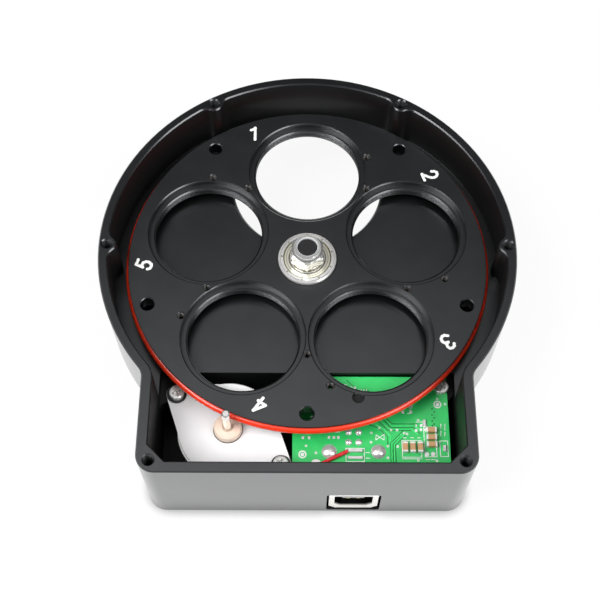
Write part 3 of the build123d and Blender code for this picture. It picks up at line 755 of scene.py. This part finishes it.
class FILTERWHEEL_OT_threads(bpy.types.Operator):
    """Cuts the threads of the pockets, the aperture and the small holes"""
    bl_idname = "filterwheel.threads"
    bl_label = "Cut the threads"

    def execute(self, context):
        colour = context.scene.filter_wheel_finish.anodise
        dyed = anodised("Black anodising, threads", colour, 0.3)
        # painted shade: the cover screw threads are darker than the dye, and the bare retaining threads near
        # black, for the dark inside of the holes
        dark = moulded("Dyed threads of the small holes", shaded(colour, 0.35), 0.4)
        bare = metal("Worn thread", (0.13, 0.125, 0.12), 0.35)
        start = 0.35
        low = WHEEL_LOW.z + start
        pockets = [(*polar(POCKET_RING, angle), low) for angle in POCKETS]
        self.wind("pocket_threads", "wheel", dyed, FILTER_THREAD, pockets,
                  depth=0.15, pitch=0.4, turns=4.6, steps=72)
        self.wind("aperture_thread", "housing", dyed, APERTURE_THREAD, [(0, POCKET_RING, start)],
                  depth=0.28, pitch=0.75, turns=6.5, steps=96)
        small = [(*polar(radius, angle + turn), WHEEL_LOW.z + 0.3)
                 for angle in POCKETS for radius, turn in RETAINING_PLACES]
        self.wind("retaining_threads", "wheel", bare, RETAINING_HOLE, small,
                  depth=0.13, pitch=0.4, turns=8.5)
        low = HOUSING_HIGH.z - 5.0
        cover = [(*polar(COVER_RING, angle), low) for angle in COVER_ANGLES]
        cover += [(side * COVER_CORNER_X, COVER_CORNER_Y, low) for side in (-1, 1)]
        self.wind("cover_screw_threads", "housing", dark, COVER_HOLE, cover,
                  depth=0.16, pitch=0.5, turns=9.0)
        return {"FINISHED"}

    def wind(self, name, body, material, bore, points, depth, pitch, turns, steps=16):
        """Winds the same thread up several bores."""
        piece = grown(name, points_mesh(points), shared("Thread", thread_tree), {
            "Radius": bore * MM, "Depth": depth * MM, "Pitch": pitch * MM, "Turns": turns,
            "Steps": steps, "Finish": material})
        adopt(piece, material, body, slot=body + "_anodise")


# strokes of the numbers 1 to 5, as shares of their width and height
NUMERALS = (
    (((0.1, 0.8), (0.35, 0.86), (0.62, 1.0), (0.62, 0.0)),),
    (((0.02, 0.70), (0.10, 0.88), (0.32, 1.0), (0.65, 1.0), (0.90, 0.88), (0.98, 0.70), (0.90, 0.52),
      (0.45, 0.22), (0.05, 0.0), (1.0, 0.0)),),
    (((0.05, 0.82), (0.22, 0.96), (0.5, 1.0), (0.8, 0.94), (0.92, 0.76), (0.82, 0.6), (0.5, 0.53)),
     ((0.5, 0.53), (0.88, 0.45), (1.0, 0.27), (0.9, 0.09), (0.6, 0.0), (0.3, 0.02), (0.02, 0.17))),
    (((0.75, 0.0), (0.75, 1.0), (0.0, 0.3), (1.0, 0.3)),),
    (((0.9, 1.0), (0.2, 1.0), (0.08, 0.5), (0.35, 0.62), (0.7, 0.6), (0.94, 0.44), (0.97, 0.25),
      (0.8, 0.05), (0.5, 0.0), (0.2, 0.03), (0.02, 0.17)),),
)
NUMERAL_SHAPE = 0.62         # width over height
INK = 0.06


class FILTERWHEEL_OT_numerals(bpy.types.Operator):
    """Prints the pocket numbers on the wheel"""
    bl_idname = "filterwheel.numerals"
    bl_label = "Print the numerals"

    def execute(self, context):
        sizes = context.scene.filter_wheel_numerals
        ink = moulded("White ink", (0.86, 0.86, 0.85), 0.5)
        wide = sizes.height * NUMERAL_SHAPE - sizes.stroke
        tall = sizes.height - sizes.stroke
        lines = []
        for strokes, angle in zip(NUMERALS, POCKETS):
            middle = polar(sizes.ring, angle + sizes.lead)
            up = polar(1, angle)
            for stroke in strokes:
                line = []
                for x, y in stroke:
                    side, rise = (x - 0.5) * wide, (y - 0.5) * tall
                    line.append((middle[0] + side * up[1] + rise * up[0],
                                 middle[1] - side * up[0] + rise * up[1], WHEEL_HIGH.z))
                lines.append(line)
        piece = grown("numerals", lines_mesh(*lines), shared("Ribbon", ribbon_tree), {
            "Width": sizes.stroke * MM, "Height": INK * MM, "Finish": ink})
        adopt(piece, ink, "wheel", slot="wheel_anodise")
        return {"FINISHED"}


# -------- screws and bearing
class FILTERWHEEL_OT_screws(bpy.types.Operator):
    """Sinks cross recesses into the screw heads"""
    bl_idname = "filterwheel.screws"
    bl_label = "Recess the screws"

    def execute(self, context):
        zinc = metal("Zinc plating, screws", (0.92, 0.92, 0.90), 0.2, bright=0.6)
        shaft, reach = middle_of("motor_shaft"), Vector(polar(EAR_REACH, EAR_ANGLE))
        low, high = corners("board_screws")
        row = middle_of("board_screws").y
        pairs = {"motor_screws": (shaft - reach, shaft + reach),
                 "board_screws": ((low.x + BOARD_SCREW_HEAD, row), (high.x - BOARD_SCREW_HEAD, row))}
        for node, middles in pairs.items():
            level = corners(node)[1].z
            cross = loose_part(lofted(plus(0.6, 0.2, -1.0), plus(1.35, 0.4, 0.3)))
            cutter = set_out("cutter", cross, zinc, [(*middle, level) for middle in middles],
                             [(0, 0, turn) for turn in (0.5, 1.1)])
            adopt(cut_copy(node + "_heads", node, cutter), zinc, "housing", node)
        return {"FINISHED"}


def plus(reach, half, z):
    """The outline of a cross."""
    ring = []
    for turn in range(4):
        for x, y in ((reach, -half), (reach, half), (half, half)):
            for _ in range(turn):
                x, y = -y, x
            ring.append((x, y, z))
    return ring


def seam(name, outer, inner, height, middle, finish, body, slot, steps=72):
    """A thin ring laid round a place, as a line of painted shadow."""
    sunk = 0.02
    scattered(name, washer(outer, inner, -sunk, height, steps), finish, body, slot, [middle])


class FILTERWHEEL_OT_bearing_marks(bpy.types.Operator):
    """Marks the crimps that hold the bearing's shield in painted shadow, and draws its seams and the grooves
    round the bearing and the bush as rings of painted shadow
    """
    bl_idname = "filterwheel.bearing_marks"
    bl_label = "Crimp the shield"

    def execute(self, context):
        dark = metal("Crimp shadow", (0.20, 0.18, 0.10), 0.45)
        olive = metal("Greased seam", (0.17, 0.16, 0.05), 0.4, bright=0.3)
        black = moulded("Shadowed groove", (0.006, 0.006, 0.006), 0.7)
        angles = (-102, -63, -24, 15, 54, 95, 137, 177, 219)
        crimp_ring = 6.55
        dent = lofted(circle(1, -1, 10), circle(1, 0.6, 10), circle(0.6, 1, 10))
        # painted shadow: each crimp is a thin, nearly flat mark in a shadow colour
        scattered("shield_crimps", dent, dark, "wheel", "shield_steel",
                  [(*polar(crimp_ring, angle), BEARING_TOP) for angle in angles],
                  [(0, 0, radians(angle)) for angle in angles], [(0.26, 0.2, 0.03)] * len(angles))
        shield = (0, 0, corners("bearing_shield_top")[1].z)
        ring = (0, 0, BEARING_TOP)
        # painted shadow in the gaps and folds between the bearing's parts, round its bore and round the bush
        seam("shield_outer_seam", 6.2, 5.9, 0.03, shield, olive, "wheel", "shield_steel")
        seam("outer_ring_line", 6.99, 6.9, 0.015, ring, dark, "wheel", "bearing_steel")
        seam("shield_fold", 5.42, 5.32, 0.015, shield, olive, "wheel", "shield_steel")
        seam("washer_seam", 4.3, 4.02, 0.02, ring, dark, "housing", "bearing_steel")
        seam("shield_inner_seam", 4.86, 4.7, 0.03, shield, dark, "wheel", "shield_steel")
        seam("bearing_bore_groove", 7.95, 7.4, 0.02, (0, 0, WHEEL_HIGH.z), black, "wheel",
             "wheel_anodise", steps=96)
        plate = (*middle_of("motor_front_bush"), corners("motor_plate")[1].z)
        seam("bush_groove", 3.68, 3.4, 0.02, plate, black, "housing", "motor_plate_steel")
        return {"FINISHED"}


# -------- the board
def outline(left, front, right, back):
    """A closed rectangle of places."""
    return [(left, front), (right, front), (right, back), (left, back), (left, front)]


def dashes(y, *ends):
    """Short lines along X, from one end to the next."""
    return [[(start, y), (end, y)] for start, end in zip(ends[::2], ends[1::2])]


# places on the board are in millimetres from its left and front edges
GAPS = (
    [(20.0, 18.6), (22.4, 16.1), (24.3, 13.8), (29.8, 13.9), (31.4, 12.2)],
    [(21.5, 18.0), (24.6, 14.8), (30.8, 14.8)], [(18.5, 18.2), (21.2, 15.5), (23.6, 13.1), (29.2, 13.1)],
    [(24.0, 0.8), (24.1, 9.8), (27.2, 12.9)], [(24.65, 0.8), (24.7, 9.6), (26.4, 11.4)],
    [(25.3, 0.8), (25.3, 9.3), (28.2, 12.2)],
    [(17.0, 17.0), (18.7, 14.7), (21.1, 13.7), (23.4, 11.4), (23.4, 9.0)],
    [(13.6, 26.4), (16.8, 23.2), (29.5, 23.2)], [(8.0, 25.0), (10.4, 22.6), (10.4, 17.0)],
    [(2.0, 14.5), (7.0, 14.5), (9.0, 16.5), (9.0, 22.0)], [(2.0, 16.0), (6.4, 16.0), (7.6, 17.2)],
)
TRACES = (
    [(20.8, 18.2), (23.5, 15.45), (24.45, 14.35), (30.3, 14.35), (31.6, 13.1)],
    [(19.6, 18.0), (21.8, 15.8), (24.0, 13.45), (29.5, 13.5), (30.8, 12.2)],
    [(24.32, 0.8), (24.4, 9.7), (26.8, 12.1)], [(25.0, 0.8), (25.0, 9.45), (27.3, 11.8)],
    [(19.7, 15.3), (22.6, 13.4), (24.2, 11.6), (24.0, 10.2)], [(9.7, 22.3), (9.7, 16.8), (7.2, 14.2)],
)
LEGEND = (
    outline(26.9, 6.2, 31.6, 10.5), outline(32.4, 6.3, 35.3, 14.0), outline(36.2, 6.4, 38.1, 10.4),
    outline(13.1, 5.0, 17.6, 8.4), [(20.6, 11.9), (22.5, 10.6), (22.6, 12.1), (20.5, 10.6), (20.6, 11.9)],
    *dashes(5.6, 32.6, 33.5, 33.9, 34.8), *dashes(5.8, 26.9, 31.6), *dashes(5.9, 18.0, 18.9),
    *dashes(7.3, 18.0, 18.9), *dashes(11.2, 27.3, 27.9, 29.1, 29.7, 30.8, 31.4),
    *dashes(12.2, 2.4, 3.1, 3.6, 5.1), *dashes(12.6, 9.6, 11.6), *dashes(15.3, 30.6, 32.4),
    *dashes(17.6, 28.6, 29.2), *dashes(24.6, 14.4, 15.0), *dashes(25.2, 12.4, 13.6),
    [(36.7, 14.8), (36.6, 13.6)], [(36.6, 13.0), (36.5, 11.7)],
    [(37.7, 14.8), (37.6, 13.2)], [(37.6, 12.6), (37.5, 11.7)],
)
VIAS = (
    (24.3, 13.2), (25.8, 13.2), (27.5, 12.4), (28.2, 12.2), (23.4, 9.0), (25.8, 8.9), (23.3, 6.0),
    (31.1, 15.8), (30.5, 14.4), (21.4, 13.7), (19.4, 12.4), (19.3, 10.0), (36.1, 21.5), (38.0, 20.1),
    (30.7, 5.4), (35.2, 5.3), (3.4, 9.0), (5.8, 7.2), (6.4, 17.5), (9.0, 22.6), (28.8, 24.4), (15.6, 24.4),
)
OPEN_VIAS = ((34.7, 18.8), (35.2, 18.0), (34.6, 17.2), (35.1, 16.4), (34.6, 15.6), (35.0, 14.8), (34.6, 14.4))
FIDUCIALS = ((2.5, 6.8), (36.1, 20.0))
ROUND_LANDS = ((32.9, 7.0), (34.4, 7.0))
LONG_LAND = (5.8, 4.9)
PADS = (
    (9.0, 11.2), (10.2, 11.2), (11.3, 11.2), (31.8, 14.4), (32.8, 14.4), (31.7, 13.3), (32.7, 13.3),
    (30.5, 13.1), (27.4, 17.9), (29.5, 19.3), (29.4, 18.0), (2.6, 11.1), (4.1, 11.1),
)

# how far the resin reaches, room from leg to leg, sides with legs
PACKAGES = {"controller_chip": (0.76, 0.65, 4), "driver_chip": (0.74, 0.95, 2),
            "hall_sensor": (0.68, 0.95, 2)}
CAPACITOR_HALF_WIDTH = 0.625
CAPACITOR_END = 0.24         # middle of a tinned end, from the end


def on_board(x, y):
    """A place on the board, from its left and front edges."""
    return BOARD_LOW.x + x, BOARD_LOW.y - AXIS_Y + y, BOARD_HIGH.z


class FILTERWHEEL_OT_board_detail(bpy.types.Operator):
    """Prints the board and lays its traces, pads and vias"""
    bl_idname = "filterwheel.board_detail"
    bl_label = "Print the board"

    def execute(self, context):
        green = context.scene.filter_wheel_finish.board
        gaps = solder_mask("Solder mask over bare laminate", shaded(green, 0.34))
        copper = solder_mask("Solder mask over copper", shaded(green, 1.35))
        via_shade = solder_mask("Drilled vias", shaded(green, 0.12))
        white = moulded("Board legend", (0.86, 0.88, 0.86), 0.5)
        tin = metal("Tinned copper", (0.95, 0.95, 0.93), 0.25, bright=0.2)
        self.trace("board_gaps", gaps, GAPS, width=0.22, height=0.03)
        self.trace("board_traces", copper, TRACES, width=0.34, height=0.045)
        self.trace("board_legend", white, LEGEND, width=0.2, height=0.04)
        # painted highlight: a strip of the lighter copper green along the board's front edge
        self.trace("board_edge_light", copper, dashes(0.35, 0.6, 38.0), width=0.16, height=0.03)
        self.dot("board_vias", washer(0.32, 0.1344, -0.035, 0.035, 16), tin, "solder", VIAS)
        self.dot("fiducial_rings", washer(1.0, 0.68, -0.03, 0.03, 32), white, "board_green", FIDUCIALS)
        spot = lofted(circle(1, -1), circle(1, 0.4), circle(0.8, 1))
        self.dot("tinned_spots", spot, tin, "solder", (*FIDUCIALS, *ROUND_LANDS, LONG_LAND),
                 [(0.48, 0.48, 0.03)] * 2 + [(0.55, 0.55, 0.04)] * 2 + [(1.1, 0.7, 0.03)])
        # painted shade: flat dark discs stand for the shaded inside of the open vias
        drill = lofted(circle(0.2, -0.03, 12), circle(0.2, 0.03, 12))
        self.dot("open_vias", drill, via_shade, "board_green", OPEN_VIAS)
        pad = lofted(*block(0.62, 0.72, -0.03, 0.06, 0.02))
        self.dot("small_pads", pad, tin, "solder", PADS)
        self.capacitor_ends(tin)
        resin = moulded("Package resin", (0.02, 0.02, 0.022), 0.5)
        for node, form in PACKAGES.items():
            self.package(node, resin, tin, *form)
        self.socket_mouth()
        return {"FINISHED"}

    def trace(self, name, material, lines, width, height):
        """Flat strips along lines of places."""
        lines = [[on_board(*place) for place in line] for line in lines]
        piece = grown(name, lines_mesh(*lines), shared("Ribbon", ribbon_tree), {
            "Width": width * MM, "Height": height * MM, "Finish": material})
        adopt(piece, material, "housing", slot="board_green")

    def dot(self, name, part, material, slot, places, scales=None):
        """One part on every place."""
        scattered(name, part, material, "housing", slot, [on_board(*place) for place in places],
                  scales=scales)

    def capacitor_ends(self, tin):
        """Tins both ends of every capacitor."""
        places, turns = [], []
        for node, along, across in (("capacitors_upright", 1, 0), ("capacitors_flat", 0, 1)):
            low, high = corners(node)
            spread = high[across] - low[across] - 2 * CAPACITOR_HALF_WIDTH
            for index in range(3):
                for end in (low[along] + CAPACITOR_END, high[along] - CAPACITOR_END):
                    place = [0, 0, (low.z + high.z) / 2]
                    place[along] = end
                    place[across] = low[across] + CAPACITOR_HALF_WIDTH + index * spread / 2
                    places.append((place[0], place[1] - AXIS_Y, place[2]))
                    turns.append((0, 0, 0 if along else pi / 2))
        half = (high.z - low.z) / 2
        cap = lofted(*block(1.3, 0.5, -half, half + 0.025, 0.08))
        scattered("capacitor_ends", cap, tin, "housing", "solder", places, turns)

    def package(self, node, resin, tin, share, pitch, sides):
        """A moulded package with its legs, in place of a plain chip."""
        low, high = corners(node)
        size = high - low
        x, y = middle_of(node)
        across = size.x * share
        along = size.y * (share if sides == 4 else 1)
        body = shifted(lofted(*block(across, along, low.z + 0.1, high.z, 0.12)), x, y)
        adopt(mesh_object(node + "_package", body), resin, "housing", node)
        places, turns = [], []
        rows = ((0, across, along, size.x), (1, along, across, size.y))
        for turn, edge, run, reach in rows[:sides // 2]:
            count = int((run - 0.3) / pitch)
            out = (edge + (reach - edge) * 0.45) / 2
            for step in range(count):
                slide = (step - (count - 1) / 2) * pitch
                for side in (-out, out):
                    places.append((x + (slide if turn else side), y + (side if turn else slide), low.z))
                    turns.append((0, 0, turn * pi / 2))
        leg = lofted(*block(0.62, 0.26, 0, min(0.42, size.z * 0.5), 0.06))
        scattered(node + "_legs", leg, tin, "housing", "solder", places, turns)

    def socket_mouth(self):
        """The folded top edge of the socket's shell, level with the wall, and the dark below it."""
        nickel = metal("Folded nickel", (0.95, 0.94, 0.92), 0.2, bright=0.3)
        unlit = moulded("Unlit socket roof", (0.008, 0.008, 0.009), 0.5)
        low, high = corners("usb_shell")
        width, top = high.x - low.x, high.z
        x, wall = middle_of("usb_shell").x, HOUSING_LOW.y - AXIS_Y
        lip = shifted(lofted(*block(width - 0.5, 0.34, top - 2.42, top - 1.62)), x, wall + 0.19)
        adopt(mesh_object("socket_lip", lip), nickel, "housing", slot="socket_nickel")
        shade = shifted(lofted(*block(width - 3.2, 0.3, top - 2.9, top - 2.42)), x, wall + 0.21)
        adopt(mesh_object("socket_roof_shade", shade), unlit, "housing", slot="socket_plastic")


# -------- studio
LAMP_SIZE = 0.5              # metres, as are the places
KEY_PLACE = (-0.45, -0.2, 0.6)
FILL_PLACE = (0.45, -0.35, 0.5)
FLOOR_REACH = 1.6
CONTACT_SHADE = 0.004        # how far the dimness under the box reaches


class FILTERWHEEL_OT_studio(bpy.types.Operator):
    """Sets the floor, lamps, surroundings and camera"""
    bl_idname = "filterwheel.studio"
    bl_label = "Set the studio"

    def execute(self, context):
        settings = context.scene.filter_wheel_studio
        backdrop(settings)
        surroundings(settings)
        lamp("Key", settings.key_power, KEY_PLACE)
        lamp("Fill", settings.fill_power, FILL_PLACE)
        camera(settings)
        context.scene.view_settings.view_transform = "Standard"
        return {"FINISHED"}


def backdrop(settings):
    """A wide pale floor that takes the object's shadow, with painted shade close to the box where ambient
    occlusion finds it.
    """
    bm = bmesh.new()
    bmesh.ops.create_grid(bm, x_segments=8, y_segments=8, size=FLOOR_REACH)
    bmesh.ops.translate(bm, verts=bm.verts, vec=(0, 0, HOUSING_LOW.z * MM - settings.floor_gap))
    floor = linked("floor", bm)
    s = new_shader("Floor")
    pale = s.made("ShaderNodeBsdfDiffuse", {"Color": (0.9, 0.9, 0.9, 1)})
    dim = s.made("ShaderNodeBsdfDiffuse", {"Color": (0.2, 0.2, 0.2, 1)})
    glow = s.made("ShaderNodeEmission", {"Color": WHITE, "Strength": settings.backdrop})
    # painted shade: ambient occlusion mixes in a dim floor close to the box
    openness = s.node("ShaderNodeAmbientOcclusion", {"Distance": CONTACT_SHADE}).outputs["AO"]
    share = Number(s, openness).fading(0.4, 0.35, 0.92, 1.0)
    floor.data.materials.append(s.end(s.mixed(share, dim, s.mixed(s.seen() * 0.9, pale, glow))))


def surroundings(settings):
    """Even light from all round, white where the camera looks past the floor."""
    world = bpy.data.worlds.new("Studio")
    bpy.context.scene.world = world
    s = Shader(world)
    _, y, z = s.axes(s.node("ShaderNodeTexCoord").outputs["Generated"])
    walls = (y * 0.2 + z).fading(0.0, settings.backdrop, 0.25, settings.ceiling)
    canopy = z.fading(0.84, 0.0, 0.98, settings.canopy)
    light = s.made("ShaderNodeBackground", {"Color": WHITE, "Strength": settings.sky})
    view = s.made("ShaderNodeBackground", {"Color": WHITE, "Strength": walls + canopy})
    s.end(s.mixed(s.seen(), light, view))


def lamp(name, power, place):
    """A square soft lamp that faces the wheel."""
    data = bpy.data.lights.new(name, "AREA")
    data.energy = power
    data.size = LAMP_SIZE
    light = bpy.data.objects.new(name, data)
    light.location = place
    target = Vector((0, AXIS_Y * MM, 0))
    light.rotation_mode = "QUATERNION"
    light.rotation_quaternion = (target - Vector(place)).to_track_quat("-Z", "Y")
    bpy.context.scene.collection.objects.link(light)


def camera(settings):
    """The camera in front of and above the open side."""
    data = bpy.data.cameras.new("Camera")
    data.lens = settings.lens
    data.sensor_width = 36.0
    data.clip_start = 0.01
    eye = bpy.data.objects.new("Camera", data)
    eye.location = settings.camera_place
    eye.rotation_euler = (pi / 2 - settings.camera_pitch, 0, -settings.camera_yaw)
    bpy.context.scene.collection.objects.link(eye)
    bpy.context.scene.camera = eye


class FILTERWHEEL_PT_panel(bpy.types.Panel):
    """Lists the steps in the 3D view's sidebar"""
    bl_idname = "FILTERWHEEL_PT_panel"
    bl_label = "Filter wheel"
    bl_space_type = "VIEW_3D"
    bl_region_type = "UI"
    bl_category = "Filter wheel"

    def draw(self, context):
        for operator in OPERATORS:
            self.layout.operator(operator.bl_idname)


SETTINGS = {"filter_wheel_finish": FinishSettings, "filter_wheel_numerals": NumeralSettings,
            "filter_wheel_studio": StudioSettings}
OPERATORS = (FILTERWHEEL_OT_finishes, FILTERWHEEL_OT_wheel_edges, FILTERWHEEL_OT_threads,
             FILTERWHEEL_OT_numerals, FILTERWHEEL_OT_screws,
             FILTERWHEEL_OT_bearing_marks, FILTERWHEEL_OT_board_detail, FILTERWHEEL_OT_studio)


def register():
    for kind in (*SETTINGS.values(), *OPERATORS, FILTERWHEEL_PT_panel):
        bpy.utils.register_class(kind)
    for name, kind in SETTINGS.items():
        setattr(bpy.types.Scene, name, bpy.props.PointerProperty(type=kind))


def unregister():
    for name in SETTINGS:
        delattr(bpy.types.Scene, name)
    for kind in (FILTERWHEEL_PT_panel, *reversed(OPERATORS), *reversed(list(SETTINGS.values()))):
        bpy.utils.unregister_class(kind)


def main():
    """Runs every step."""
    register()
    for operator in OPERATORS:
        group, name = operator.bl_idname.split(".")
        getattr(getattr(bpy.ops, group), name)()


if __name__ == "__main__":
    main()
